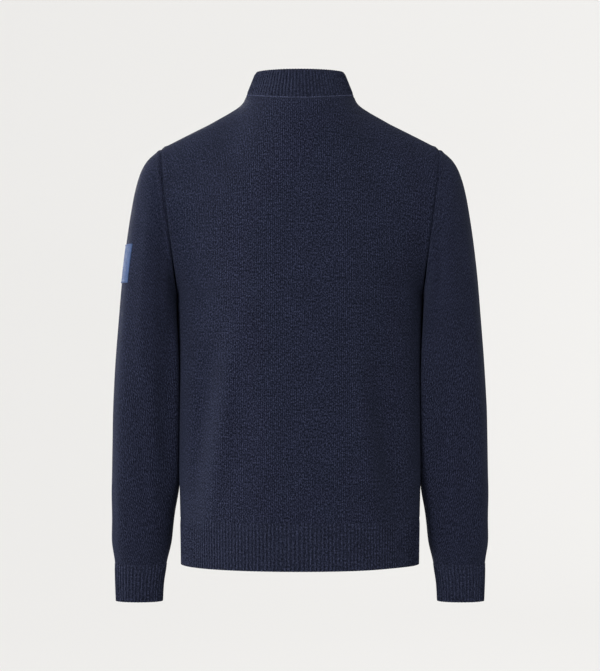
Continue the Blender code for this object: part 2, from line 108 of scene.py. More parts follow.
TORSO = table(
    "z half_width back_depth front_depth",
    (-0.6805, 0.1727, 0.1180, 0.1120),
    (-0.6125, 0.1738, 0.1170, 0.1150),
    (-0.5600, 0.1751, 0.1140, 0.1180),
    (-0.4800, 0.1763, 0.1100, 0.1210),
    (-0.4000, 0.1773, 0.1100, 0.1240),
    (-0.3300, 0.1781, 0.1160, 0.1275),
    (-0.2900, 0.1785, 0.1172, 0.1282),
)
SHOULDER = table(
    "x z",
    (0.0785, 0.0000),
    (0.0805, -0.0078),
    (0.0895, -0.0163),
    (0.1030, -0.0250),
    (0.1340, -0.0424),
    (0.1684, -0.0600),
    (0.2010, -0.0768),
)
SLEEVE = table(
    "over_x over_z under_x under_z mid_y depth",
    (0.2010, -0.0768, 0.1785, -0.2900, 0.0000, 0.0600),
    (0.2125, -0.0848, 0.1789, -0.2960, 0.0000, 0.0620),
    (0.2235, -0.0955, 0.1792, -0.3020, 0.0000, 0.0635),
    (0.2328, -0.1124, 0.1792, -0.3090, 0.0005, 0.0640),
    (0.2406, -0.1387, 0.1792, -0.3170, 0.0010, 0.0640),
    (0.2471, -0.1737, 0.1791, -0.3270, 0.0015, 0.0635),
    (0.2532, -0.2150, 0.1790, -0.3400, 0.0020, 0.0620),
    (0.2590, -0.2640, 0.1789, -0.3580, 0.0020, 0.0595),
    (0.2640, -0.3220, 0.1786, -0.3830, 0.0010, 0.0560),
    (0.2690, -0.3840, 0.1781, -0.4200, -0.0010, 0.0520),
    (0.2727, -0.4480, 0.1776, -0.4660, -0.0050, 0.0470),
    (0.2745, -0.5100, 0.1769, -0.5150, -0.0100, 0.0425),
    (0.2756, -0.5600, 0.1765, -0.5600, -0.0150, 0.0385),
    (0.2760, -0.6050, 0.1833, -0.6050, -0.0200, 0.0345),
    (0.2753, -0.6480, 0.1897, -0.6480, -0.0245, 0.0300),
    (0.2722, -0.6830, 0.1964, -0.6830, -0.0280, 0.0260),
    (0.2715, -0.7110, 0.2012, -0.7110, -0.0305, 0.0240),
    (0.2706, -0.7388, 0.2031, -0.7388, -0.0330, 0.0235),
)
CUFF_STATION = 15
LAST_STATION = 17
ARMHOLE_FADE = 3.5
SLEEVE_SQUARENESS = 0.86
SLEEVE_CLEARANCE = 0.0005

# The body's troughs and ridges. Heights below zero push the cloth in. The folds are the solids' own, at
# both sides of the middle. Each crease has a place of its own.
FOLD_COLUMNS = "top_x top_z bottom_x bottom_z half_width height"
BACK_FOLDS = table(
    FOLD_COLUMNS,
    (0.118, -0.300, 0.156, -0.640, 0.019, -0.0080),
    (0.150, -0.215, 0.128, -0.345, 0.014, -0.0030),
)
FRONT_FOLDS = table(
    FOLD_COLUMNS,
    (0.112, -0.330, 0.145, -0.640, 0.020, -0.0065),
    (0.150, -0.205, 0.118, -0.330, 0.015, -0.0035),
)
BACK_CREASES = table(
    FOLD_COLUMNS,
    (0.096, -0.330, 0.140, -0.680, 0.015, 0.0075),
    (0.130, -0.350, 0.163, -0.670, 0.014, -0.0095),
    (-0.102, -0.335, -0.140, -0.660, 0.013, -0.0085),
    (-0.080, -0.330, -0.112, -0.640, 0.013, 0.0030),
    (-0.148, -0.420, -0.152, -0.840, 0.038, -0.0155),
    (-0.072, -0.360, -0.104, -0.600, 0.014, 0.0018),
    (-0.152, -0.500, -0.163, -0.650, 0.012, 0.0016),
    (0.084, -0.150, 0.114, -0.300, 0.012, -0.0018),
    (0.092, -0.280, 0.076, -0.390, 0.013, 0.0013),
    (0.058, -0.050, 0.036, -0.175, 0.020, -0.0016),
    (-0.094, -0.080, -0.116, -0.205, 0.018, -0.0019),
    (-0.060, -0.110, -0.070, -0.300, 0.020, 0.0011),
    (0.160, -0.160, 0.132, -0.300, 0.009, -0.0016),
    (-0.158, -0.150, -0.126, -0.300, 0.010, -0.0026),
    (0.012, -0.330, -0.006, -0.560, 0.024, -0.0009),
)
FRONT_CREASES = table(
    FOLD_COLUMNS,
    (0.086, -0.320, 0.120, -0.620, 0.014, 0.0022),
    (-0.094, -0.350, -0.142, -0.615, 0.012, -0.0034),
    (-0.066, -0.340, -0.096, -0.590, 0.015, 0.0017),
    (0.134, -0.380, 0.160, -0.610, 0.012, -0.0020),
    (0.155, -0.150, 0.112, -0.290, 0.010, -0.0026),
    (-0.156, -0.160, -0.118, -0.310, 0.011, -0.0022),
    (0.040, -0.110, 0.058, -0.260, 0.020, -0.0014),
    (-0.030, -0.120, -0.046, -0.250, 0.022, -0.0012),
    (0.010, -0.400, 0.022, -0.580, 0.024, 0.0009),
)

# Along a sleeve, by station and by angle in degrees: 0 is the overarm line and 90 straight back
SLEEVE_COLUMNS = "first last first_angle last_angle half_width height"
SLEEVE_FOLDS = table(
    SLEEVE_COLUMNS,
    (4.0, 15.0, 46, 46, 15, 0.0030),
    (4.0, 15.0, -56, -56, 20, 0.0016),
)
LEFT_CREASES = table(
    SLEEVE_COLUMNS,
    (0.5, 12.5, 158, 153, 12, 0.0100),
    (0.4, 7.5, 96, 120, 13, -0.0030),
    (1.5, 9.0, 66, 80, 12, 0.0012),
    (6.0, 13.0, 118, 128, 13, -0.0018),
    (8.5, 13.5, 74, 96, 12, -0.0012),
    (0.6, 7.0, -92, -116, 14, -0.0028),
    (7.0, 13.0, -96, -76, 13, -0.0016),
    (3.0, 9.0, 14, 22, 12, -0.0010),
    (11.5, 15.0, 20, 34, 14, -0.0011),
)
RIGHT_CREASES = table(
    SLEEVE_COLUMNS,
    (0.5, 12.5, 158, 153, 12, 0.0100),
    (0.3, 8.0, 98, 126, 14, -0.0042),
    (2.0, 8.0, 70, 84, 13, 0.0013),
    (7.0, 13.5, 112, 134, 13, -0.0014),
    (4.0, 10.0, 24, 10, 12, -0.0014),
    (0.6, 7.5, -96, -112, 13, -0.0030),
    (8.0, 13.5, -84, -98, 13, -0.0015),
    (11.0, 15.0, 78, 58, 15, -0.0012),
)
SLEEVE_FOLD_FADE = 0.7  # below 1 a fold keeps its height nearer to its ends
CUFF_BLOUSE = table("station half_width height", (14.1, 0.55, 0.0016), (12.4, 0.5, 0.0006))

# Seams: the cloth dips at the stitching, and swells beside it
SEAM_DIP = (0.0020, -0.0007)  # half width and height
SEAM_SWELL = (0.0052, 0.0028, 0.0009)  # distance from the seam, half width and height
SLEEVE_HEAD_SWELL = 1.1  # on the sleeve's side of its seam, against the body's side

# The chain of linking stitches round the neck
CHAIN_LOOPS = 150
CHAIN_STEPS = 6  # per loop
CHAIN_SIDES = 8
CHAIN_THICKNESS = 0.0009
CHAIN_LOOP_HEIGHT = 0.0006
CHAIN_AT_SIDES = 0.3  # of its thickness, where it sinks in at the neck's sides
CHAIN_SIDE_REACH = 1 / 3
CHAIN_OUT = 0.0011
CHAIN_SUNK = -0.0008
CHAIN_UP = 0.0002
CHAIN_UNROLLED = 0.001  # the radius by which its texture is unrolled

# The patch on the left sleeve
PATCH_Z = (-0.216, -0.272)
PATCH_ANGLES = (math.radians(-10), math.radians(46))
PATCH_CELLS = (56, 60)
PATCH_SEARCH = 200  # places down the sleeve, to find its heights
PATCH_THICKNESS = 0.0008
PATCH_LIFT = 0.0004
PATCH_BORDER = 0.0024
PATCH_MIDDLE = 0.55  # of its thickness
PATCH_RIM = 0.60

# Knit
WALE = 0.0028  # width of a stitch
COURSE = 0.0021  # height of a stitch
STITCH_SLANT = 1.1  # courses to a wale, along a stitch's legs
STITCH_ROUNDNESS = 1.6
STITCH_GAP = 0.35  # of its height, lost between two courses
COLUMN_WANDER = 0.3  # in wales
COURSE_WANDER = 1.3  # in courses
JERSEY_SHADE = (0.9, 0.5)  # painted shade, as parts of the yarn's colour: what a stitch's height adds, and the least, so its furrows come out darker
# the same painted shade on the ribs: darker in their furrows
RIB_SHADE = (0.6, 0.66)
CLOUD_CONTRAST = 0.5
FUZZ_HEIGHT = 0.5  # of a stitch's height
THREAD_PITCH = 0.0009  # of the patch's weave
THREAD_DEPTH = 0.0003
THREAD_CONTRAST = 0.2

# Unevenness: noise cells to a metre, detail and roughness
WANDER = (90.0, 1.0, 0.5)
FIBRES = (780.0, 2.0, 0.65)
SPECKS = (450.0, 1.0, 0.6)
SPECK_STRETCH = (1.2, 0.8)
CLOUDS = (26.0, 3.0, 0.55)
FUZZ = (900.0, 2.0, 0.7)
THREADS = (240.0, 3.0, 0.6)
PAINT = (0.8, 2.0, 0.5)

# Yarns: their dark, middle and light fibres
JERSEY_YARN = ((0.0018, 0.0028, 0.0062), (0.0074, 0.0091, 0.0203), (0.0250, 0.0287, 0.0550))
# Painted highlight: the linking chain's yarn is several times lighter than the jersey's, so the raised
# chain reads as a lit ridge
LINKING_YARN_PAINTED_HIGHLIGHT = ((0.0080, 0.0100, 0.0190), (0.0260, 0.0300, 0.0560), (0.0620, 0.0700, 0.1200))
RIB_YARN = ((0.0020, 0.0030, 0.0064), (0.0083, 0.0101, 0.0214), (0.0275, 0.0317, 0.0590))
FIBRE_STOPS = (0.405, 0.50, 0.60)
PATCH_THREADS = ((0.017, 0.036, 0.096), (0.033, 0.067, 0.164))
EVEN_STOPS = (0.3, 0.7)

# Shader settings
WOOL = {
    "Roughness": 0.88,
    "Specular IOR Level": 0.06,
    "Sheen Weight": 0.045,
    "Sheen Roughness": 0.5,
    "Sheen Tint": (0.40, 0.50, 0.85, 1.0),
}
SATIN = {"Roughness": 0.65, "Specular IOR Level": 0.12, "Sheen Weight": 0.04}
MATT = {"Roughness": 1.0, "Specular IOR Level": 0.0}
WOOL_BUMP = 0.7
SATIN_BUMP = 0.5

# Camera, light and backdrop
CAMERA_PLACE = (0.0, 3.2, -0.348)
CAMERA_LENS = 117.6  # mm, on a sensor 36 mm wide
WORLD_COLOUR = (1.0, 0.995, 0.985, 1.0)
WORLD_STRENGTH = 0.950
WORLD_SLOPE = 0.18  # added on the bright side, and taken off opposite
WORLD_BRIGHT_SIDE = (0.97, 0.10, 0.0)
LIGHT_TARGET = (0.0, 0.0, -0.34)
LIGHT_SPREAD = math.radians(50)
LIGHTS = (  # name, place, width and watts
    ("key_behind", (1.96, 3.14, 0.85), 1.0, 9.2),
    ("key_side", (3.65, -0.60, 0.55), 1.0, 7.4),
    ("key_front", (1.60, -3.30, 0.85), 1.2, 6.0),
)
BACKDROP_COLOUR = (0.900, 0.894, 0.884)
BACKDROP_SHADE = 0.995  # where the paint is darkest
FLOOR_Z = -1.50
FLOOR_RINGS = (0.0, 1.0, 2.0, 4.0)
FLOOR_RADIUS = 6.0
FLOOR_BEND = 3.0
WALL_TOP = 9.0  # above the floor
SWEEP_SIDES = 96
SWEEP_BEND_ROWS = 16

# Normals
STEP = 1e-3
ANY_TURN = (-3 * math.pi, 3 * math.pi)  # a range that no angle leaves
SHARP = math.radians(62)  # edges that bend more stay sharp


def smoothstep(value):
    """Rises smoothly from 0 to 1 as the value does."""
    value = np.clip(value, 0.0, 1.0)
    return value * value * (3.0 - 2.0 * value)


def unit(vectors):
    return vectors / np.linalg.norm(vectors, axis=-1, keepdims=True)


def along(column, station):
    """A smooth curve through a table's column, read at a station: 0 is its first row and 1 the next."""
    station = np.clip(station, 0.0, len(column) - 1.0)
    low = np.minimum(station.astype(int), len(column) - 2)
    part = station - low
    slope = np.gradient(column)
    blend = part**2 * (3 - 2 * part)
    bend_in = part * (1 - part) ** 2 * slope[low]
    bend_out = part**2 * (part - 1) * slope[low + 1]
    return column[low] * (1 - blend) + column[low + 1] * blend + bend_in + bend_out


def torso_at(name, z):
    """A column of the torso's table at height z."""
    return along(TORSO[name], np.interp(z, TORSO["z"], np.arange(len(TORSO["z"]))))


def depth_at(side, z):
    """The torso's depth behind (side 1) or in front (side -1) at height z."""
    return torso_at("back_depth" if side > 0 else "front_depth", z)


def folds_at(folds, x, z):
    """The height of a table's troughs and ridges at x and z."""
    total = np.zeros_like(x)
    for top_x, top_z, bottom_x, bottom_z, half_width, height in zip(*folds.values()):
        part = np.clip((top_z - z) / (top_z - bottom_z), 0.0, 1.0)
        across = (x - top_x - (bottom_x - top_x) * part) / half_width
        total += height * np.sin(math.pi * part) * np.exp(-(across**2))
    return total


def fold_height(side, x, z):
    """The height of all folds and creases of the back or front."""
    folds, creases = (BACK_FOLDS, BACK_CREASES) if side > 0 else (FRONT_FOLDS, FRONT_CREASES)
    return folds_at(folds, np.abs(x), z) + folds_at(creases, x, z)


def torso_below(side, u, z):
    """The torso under the armpit. side is 1 at the back and -1 in front, and u is -1 to 1 across."""
    angle = u * math.pi / 2
    x = torso_at("half_width", z) * np.sign(angle) * np.abs(np.sin(angle)) ** (2 / TORSO_POWER)
    y = depth_at(side, z) * np.abs(np.cos(angle)) ** (2 / TORSO_POWER)
    y = y + fold_height(side, x, z) * np.cos(angle)
    return np.stack([x, side * y, z + 0 * x], axis=-1)


def neckline(turn):
    """The collar's seam, by the angle from the middle of the back."""
    back = np.maximum(np.cos(turn), 0.0)
    front = np.maximum(-np.cos(turn), 0.0)
    x = NECK_HALF_WIDTH * np.sin(turn)
    y = NECK_BACK_Y * back - NECK_FRONT_Y * front
    z = -NECK_BACK_DROP * back**2 - NECK_FRONT_DROP * front**SCOOP
    return np.stack([x, y, z], axis=-1)


def panel_neck_edge(turn):
    """The neckline in the straight steps that the solids have."""
    step = math.pi / 2 / NECK_STEPS
    low = np.floor(turn / step) * step
    part = ((turn - low) / step)[..., None]
    return neckline(low) * (1 - part) + neckline(low + step) * part


def top_edge(side, u):
    """The panel's top: half the neckline in the middle, and a shoulder seam on either side of it."""
    reach = np.abs(u)
    turn = np.minimum(reach / NECK_SHARE, 1.0) * math.pi / 2
    neck = panel_neck_edge(turn if side > 0 else math.pi - turn)
    out = np.clip((reach - NECK_SHARE) / (1 - NECK_SHARE), 0.0, 1.0) ** COLUMN_SPREAD
    seam_x = NECK_HALF_WIDTH + (SHOULDER_POINT[0] - NECK_HALF_WIDTH) * out
    seam_z = np.interp(seam_x, SHOULDER["x"], SHOULDER["z"])
    on_neck = reach < NECK_SHARE
    x = np.sign(u) * np.where(on_neck, neck[..., 0], seam_x)
    y = np.where(on_neck, neck[..., 1], SHOULDER_POINT[1] * out)
    z = np.where(on_neck, neck[..., 2], seam_z)
    return np.stack([x, y, z], axis=-1)


def torso_above(side, u, t):
    """The torso from the armpit (t = 0) to its top edge (t = 1), cut out at the armhole."""
    top = top_edge(side, u)
    depth = depth_at(side, np.array(ARMPIT_Z))
    edge_y = ARMHOLE_DEPTH * np.sqrt(1 - (1 - np.minimum(2 * t, 1.0)) ** ARMHOLE_CURVE)
    edge_x = ARMPIT_X + (SHOULDER_POINT[0] - ARMPIT_X) * t
    last_angle = np.arccos((edge_y / depth) ** (TORSO_POWER / 2))
    angle = u * last_angle
    across = np.abs(np.sin(angle) / np.sin(last_angle)) ** (2 / TORSO_POWER)
    wall_x = np.sign(u) * edge_x * across
    wall_y = depth * np.cos(angle) ** (2 / TORSO_POWER)
    out = smoothstep((np.abs(u) - NECK_SPREAD) / (1 - NECK_SPREAD))
    roundness = ROUND_AT_NECK + (ROUND_UP - ROUND_AT_NECK) * out
    turn = t * math.pi / 2
    rise = np.sin(turn) ** (2 / ROUND_UP)
    keep = np.maximum(np.cos(turn), 0.0) ** (2 / roundness)
    z = ARMPIT_Z + (top[..., 2] - ARMPIT_Z) * rise
    x = wall_x + (top[..., 0] - wall_x) * rise**SLIDE_POWER
    wall_y = wall_y + fold_height(side, x, z) * np.cos(u * math.pi / 2)
    y = wall_y * keep + side * top[..., 1] * rise**NECK_POWER
    return np.stack([x, side * y, z], axis=-1)


def torso(side, u, v):
    """The whole torso: v is 0 at the top of the hem rib, 1 at the armpit and 2 at the shoulder."""
    u, v = np.broadcast_arrays(u, v)
    z = RIB_TOP_Z + (ARMPIT_Z - RIB_TOP_Z) * np.minimum(v, 1.0)
    below = torso_below(side, u, z)
    above = torso_above(side, u, np.clip(v - 1.0, 0.0, 1.0))
    return np.where((v <= 1.0)[..., None], below, above)


def armhole_share(angle):
    """The armhole's height t at an angle round the sleeve, which is 0 at the shoulder and pi below."""
    share = np.clip((1 + np.cos(angle)) / 2, 0.0, 1.0)
    return np.arcsin(share ** (ROUND_UP / 2)) / (math.pi / 2)


def plain_ring(station, angle):
    """The sleeve's ring before the armhole's outline and the folds are added, and its centre."""
    row = {name: along(column, station) for name, column in SLEEVE.items()}
    centre_x = (row["over_x"] + row["under_x"]) / 2
    centre_z = (row["over_z"] + row["under_z"]) / 2
    bulge = np.sign(np.sin(angle)) * np.abs(np.sin(angle)) ** SLEEVE_SQUARENESS
    x = centre_x + (row["over_x"] - row["under_x"]) / 2 * np.cos(angle)
    y = row["mid_y"] + row["depth"] * bulge
    z = centre_z + (row["over_z"] - row["under_z"]) / 2 * np.cos(angle)
    return np.stack([x, y, z], axis=-1), np.stack([centre_x, row["mid_y"], centre_z], axis=-1)


def armhole(angle):
    """The armhole's edge, by the angle round the sleeve."""
    share = armhole_share(angle)
    edge = np.ones_like(share)
    behind = (np.sin(angle) >= 0)[..., None]
    return np.where(behind, torso_above(1, edge, share), torso_above(-1, edge, share))


def sleeve_folds(folds, station, angle):
    """The height of a table's folds on a sleeve."""
    total = np.zeros_like(station)
    for first, last, first_angle, last_angle, half_width, height in zip(*folds.values()):
        part = np.clip((station - first) / (last - first), 0.0, 1.0)
        centre = np.radians(first_angle + (last_angle - first_angle) * part)
        across = (angle - centre + math.pi) % (2 * math.pi) - math.pi
        fade = np.sin(math.pi * part) ** SLEEVE_FOLD_FADE
        total += height * fade * np.exp(-((across / math.radians(half_width)) ** 2))
    return total


def blouse(station, angle):
    """The sleeve swells a little above the cuff, less at some sides than at others."""
    total = np.zeros_like(station)
    uneven = 0.75 + 0.25 * np.cos(2 * angle + 0.8)
    for middle, half_width, height in zip(*CUFF_BLOUSE.values()):
        total += height * uneven * np.exp(-(((station - middle) / half_width) ** 2))
    return total


def sleeve(creases, station, angle):
    """The left sleeve's form. The angle is 0 on the overarm line, positive towards the back."""
    station, angle = np.broadcast_arrays(np.asarray(station, float), np.asarray(angle, float))
    points, centre = plain_ring(station, angle)
    start, _ = plain_ring(np.zeros_like(station), angle)
    to_armhole = armhole(angle) + np.array([SLEEVE_CLEARANCE, 0.0, 0.0]) - start
    points = points + to_armhole * (1 - smoothstep(station / ARMHOLE_FADE))[..., None]
    height = sleeve_folds(SLEEVE_FOLDS, station, angle) + sleeve_folds(creases, station, angle)
    height = height + blouse(station, angle)
    return points + unit(points - centre) * height[..., None]


def collar(height, turn):
    """The collar's outer surface: height is 0 at its seam and 1 at its top edge."""
    height, turn = np.broadcast_arrays(np.asarray(height, float), np.asarray(turn, float))
    base = panel_neck_edge(turn)
    back = np.maximum(np.cos(turn), 0.0)
    front = np.maximum(-np.cos(turn), 0.0)
    top_x = COLLAR_TOP_HALF_WIDTH * np.sin(turn)
    top_y = COLLAR_TOP_BACK_Y * back - COLLAR_TOP_FRONT_Y * front
    top_z = COLLAR_TOP_Z + (COLLAR_FRONT_TOP_Z - COLLAR_TOP_Z) * front**SCOOP
    top = np.stack([top_x, top_y, top_z], axis=-1)
    points = base + (top - base) * height[..., None]
    roll = COLLAR_EDGE_ROLL * np.maximum(height - ROLL_START, 0.0) / (1 - ROLL_START)
    inward = -np.stack([np.sin(turn), np.cos(turn), 0 * turn], axis=-1)
    return points + inward * roll[..., None]


def outward_normals(surface, first, second, first_range, second_range):
    """Unit normals of surface(first, second), from small steps that stay inside both ranges."""
    first_low = np.maximum(first - STEP, first_range[0])
    first_high = np.minimum(first + STEP, first_range[1])
    second_low = np.maximum(second - STEP, second_range[0])
    second_high = np.minimum(second + STEP, second_range[1])
    along_first = surface(first_high, second) - surface(first_low, second)
    along_second = surface(first, second_high) - surface(first, second_low)
    return unit(np.cross(along_first, along_second))


def torso_normals(side, u, v):
    return outward_normals(partial(torso, side), u, v, (-1, 1), (0, 2)) * -side


def sleeve_normals(creases, station, angle):
    surface = partial(sleeve, creases)
    return outward_normals(surface, station, angle, (0, LAST_STATION), ANY_TURN)


def collar_normals(height, turn):
    height, turn = np.broadcast_arrays(np.asarray(height, float), np.asarray(turn, float))
    return outward_normals(collar, height, turn, (0, 1), ANY_TURN)


def shared_at_seam(own, other):
    """The normal at a seam: the mean of both sides where they face alike, or else a piece's own."""
    alike = smoothstep(0.5 + np.sum(own * other, axis=-1))
    return unit(own + other * alike[..., None])


def pull_back(points, edge, inside, amount):
    """Moves one edge row of a grid of points towards the row inside it by a fixed distance."""
    points[edge] = points[edge] + unit(points[inside] - points[edge]) * amount


def run_length(points, axis):
    """The length along each row or column of a grid of points, from its first point."""
    steps = np.linalg.norm(np.diff(points, axis=axis), axis=-1)
    start = np.zeros_like(np.take(steps, [0], axis=axis))
    return np.concatenate([start, np.cumsum(steps, axis=axis)], axis=axis)


def soften_across(points, most):
    """Eases the bend that the neck's corner leaves down a panel, between its first and last rows."""
    row = np.arange(len(points))
    passes = most * smoothstep((len(points) - 1 - row) / SOFT_ROWS) * smoothstep(row / SOFT_ROWS)
    for count in range(most):
        share = 0.25 * np.clip(passes - count, 0.0, 1.0)[:, None, None]
        middle = points[:, 1:-1]
        points[:, 1:-1] = middle + share * (points[:, :-2] + points[:, 2:] - 2 * middle)


def seam_relief(distance):
    """The height of the cloth at a distance from a seam."""
    dip_width, dip = SEAM_DIP
    place, swell_width, swell = SEAM_SWELL
    near = dip * np.exp(-((distance / dip_width) ** 2))
    return near + swell * np.exp(-(((distance - place) / swell_width) ** 2))


def rib_profile(turns):
    """The relief across a rib, by the number of ribs run past: rounded crests and narrow furrows."""
    wave = 0.5 - 0.5 * np.cos(2 * math.pi * turns)
    return wave**RIB_ROUNDNESS


def place_object(name, data):
    """A new object in the scene, from its mesh or lamp or camera."""
    made = bpy.data.objects.new(name, data)
    bpy.context.scene.collection.objects.link(made)
    return made


def face_mesh(name, points, faces, corners):
    """A smooth mesh that faces outward, from points, four-sided faces and their corners' UVs."""
    mesh = bpy.data.meshes.new(name)
    mesh.from_pydata(points.tolist(), [], faces.tolist())
    layer = mesh.uv_layers.new(name="flat")
    layer.data.foreach_set("uv", corners.astype(np.float32).ravel())
    builder = bmesh.new()
    builder.from_mesh(mesh)
    bmesh.ops.recalc_face_normals(builder, faces=builder.faces)
    builder.to_mesh(mesh)
    builder.free()
    mesh.shade_smooth()
    return mesh


def ribbed(base, normals, ribs, fade):
    """A rib knit's outer and inner points, with its relief faded where fade is under 1."""
    lift = RIB_RELIEF * ribs * fade
    outer = base + normals * lift[..., None]
    inner = base + normals * (RIB_INSIDE * lift - RIB_WALL)[..., None]
    return outer, inner


def cloth(name, outer, inner, closed, crest=None):
    """A cloth piece between two grids of points, with its flat lengths in metres as UVs."""
    rows, columns = outer.shape[:2]
    ring = np.concatenate([outer, outer[:, :1]], axis=1) if closed else outer
    across = run_length(ring, 1)
    across = across - across[:, across.shape[1] // 2][:, None]
    down = run_length(ring, 0)
    number = np.arange(rows * columns).reshape(rows, columns)
    if closed:
        number = np.concatenate([number, number[:, :1]], axis=1)
    inside = number + rows * columns
    place = np.arange(rows * ring.shape[1]).reshape(rows, ring.shape[1])

    def quads(grid):
        return np.stack([grid[:-1, :-1], grid[:-1, 1:], grid[1:, 1:], grid[1:, :-1]], axis=-1)

    def strip(a, b):
        return np.stack([a[:-1], a[1:], b[1:], b[:-1]], axis=-1)

    faces = [quads(number), quads(inside)[..., ::-1]]
    corners = [quads(place), quads(place)[..., ::-1]]
    edges = [(np.s_[0], True), (np.s_[-1], False)]
    if not closed:
        edges += [(np.s_[:, 0], False), (np.s_[:, -1], True)]
    for edge, turned in edges:
        shape = strip(number[edge], inside[edge])
        corner = strip(place[edge], place[edge])
        faces.append(shape[:, ::-1] if turned else shape)
        corners.append(corner[:, ::-1] if turned else corner)
    faces = np.concatenate([part.reshape(-1, 4) for part in faces])
    corners = np.concatenate([part.reshape(-1, 4) for part in corners])

    points = np.concatenate([outer.reshape(-1, 3), inner.reshape(-1, 3)])
    lengths = np.stack([across.ravel(), down.ravel()], axis=-1)
    mesh = face_mesh(name, points, faces, lengths[corners.ravel()])
    if crest is not None:
        heights = np.broadcast_to(crest, (rows, columns)).ravel()
        attribute = mesh.attributes.new("crest", "FLOAT", "POINT")
        attribute.data.foreach_set("value", np.tile(heights, 2).astype(np.float32))
    mesh.set_sharp_from_angle(angle=SHARP)
    return place_object(name, mesh)


def mirror(made):
    """Turns a left piece into the same on the right."""
    builder = bmesh.new()
    builder.from_mesh(made.data)
    bmesh.ops.scale(builder, vec=(-1, 1, 1), verts=builder.verts)
    bmesh.ops.reverse_faces(builder, faces=builder.faces)
    builder.to_mesh(made.data)
    builder.free()
    return made


def armhole_normals(creases, angle):
    """The torso's and the sleeve's normals where they meet, by the angle round the sleeve."""
    v = 1.0 + armhole_share(angle)
    edge = np.ones_like(v)
    behind = (np.sin(angle) >= 0)[..., None]
    body = np.where(behind, torso_normals(1, edge, v), torso_normals(-1, edge, v))
    return body, sleeve_normals(creases, np.zeros_like(angle), angle)


def top_neighbours(side, u, v):
    """Along a panel's top edge, the normals of what it is sewn to: the other panel, or the collar."""
    turn = np.minimum(np.abs(u) / NECK_SHARE, 1.0) * math.pi / 2
    turn = np.sign(u) * (turn if side > 0 else math.pi - turn)
    on_shoulder = (np.abs(u) > NECK_SHARE)[:, None]
    return np.where(on_shoulder, torso_normals(-side, u, v), collar_normals(0.0, turn))


def make_panel(name, side):
    """The back (side 1) or the front (side -1), from the hem rib up."""
    u = np.linspace(-1.0, 1.0, 2 * PANEL_HALF_COLUMNS + 1)[None, :]
    below = np.linspace(0.0, 1.0, BODY_ROWS + 1)
    above = 1.0 + armhole_share(np.linspace(math.pi, 0.0, ARM_STEPS + 1)[1:])
    u, v = np.broadcast_arrays(u, np.concatenate([below, above])[:, None])
    outer = torso(side, u, v)
    soften_across(outer[BODY_ROWS:], SOFT_PASSES)
    normals = torso_normals(side, u, v)
    normals[-1] = shared_at_seam(normals[-1], top_neighbours(side, u[-1], v[-1]))
    angles = side * np.linspace(math.pi, 0.0, ARM_STEPS + 1)[:-1]
    left = shared_at_seam(*armhole_normals(LEFT_CREASES, angles))
    right = shared_at_seam(*armhole_normals(RIGHT_CREASES, angles))
    normals[BODY_ROWS:-1, -1] = left
    normals[BODY_ROWS:-1, 0] = right * np.array([-1.0, 1.0, 1.0])

    run = run_length(outer, 1)
    to_side = np.minimum(run, run[:, -1:] - run)
    rise = run_length(outer, 0)
    relief = seam_relief(to_side) + seam_relief(rise[-1:] - rise)
    to_armpit = np.s_[: BODY_ROWS + 1]
    pull_back(outer, (to_armpit, 0), (to_armpit, 1), HALF_GAP)
    pull_back(outer, (to_armpit, -1), (to_armpit, -2), HALF_GAP)
    pull_back(outer, -1, -2, HALF_GAP)
    outer[0, :, 2] += HALF_GAP
    inner = outer - normals * JERSEY_WALL
    inner[0, :, 2] = outer[0, :, 2]
    return cloth(name, outer + normals * relief[..., None], inner, closed=False)


def make_hem(name, side):
    """The rib at the bottom of the back (side 1) or front (side -1)."""
    columns = HEM_RIBS * RIB_COLUMNS
    u = np.linspace(-1.0, 1.0, columns + 1)[None, :]
    z = np.linspace(HEM_Z, RIB_TOP_Z - HALF_GAP, HEM_ROWS + 1)[:, None]
    u, z = np.broadcast_arrays(u, z)
    base = torso_below(side, u, z)
    surface = partial(torso_below, side)
    normals = outward_normals(surface, u, z, (-1, 1), (HEM_Z, RIB_TOP_Z)) * -side
    pull_back(base, np.s_[:, 0], np.s_[:, 1], HALF_GAP)
    pull_back(base, np.s_[:, -1], np.s_[:, -2], HALF_GAP)
    ribs = rib_profile(np.arange(columns + 1) / RIB_COLUMNS)[None, :]
    fade = RIB_AT_SEAM + (1 - RIB_AT_SEAM) * smoothstep((RIB_TOP_Z - z) / RIB_FADE)
    outer, inner = ribbed(base, normals, ribs, fade)
    outer[..., 2] = z
    inner[..., 2] = z
    return cloth(name, outer, inner, closed=False, crest=ribs)


def make_sleeve(name, creases):
    """A sleeve from the armhole to the cuff rib, at the wearer's left."""
    angles = np.linspace(0.0, 2 * math.pi, 2 * ARM_STEPS, endpoint=False)[None, :]
    stations = CUFF_STATION * np.linspace(0.0, 1.0, SLEEVE_ROWS + 1)[:, None] ** SLEEVE_ROW_SPREAD
    stations, angles = np.broadcast_arrays(stations, angles)
    outer = sleeve(creases, stations, angles)
    normals = sleeve_normals(creases, stations, angles)
    body, arm = armhole_normals(creases, np.arctan2(np.sin(angles[0]), np.cos(angles[0])))
    normals[0] = shared_at_seam(arm, body)
    relief = seam_relief(run_length(outer, 0)) * SLEEVE_HEAD_SWELL
    pull_back(outer, -1, -2, HALF_GAP)
    inner = outer - normals * JERSEY_WALL
    return cloth(name, outer + normals * relief[..., None], inner, closed=True)


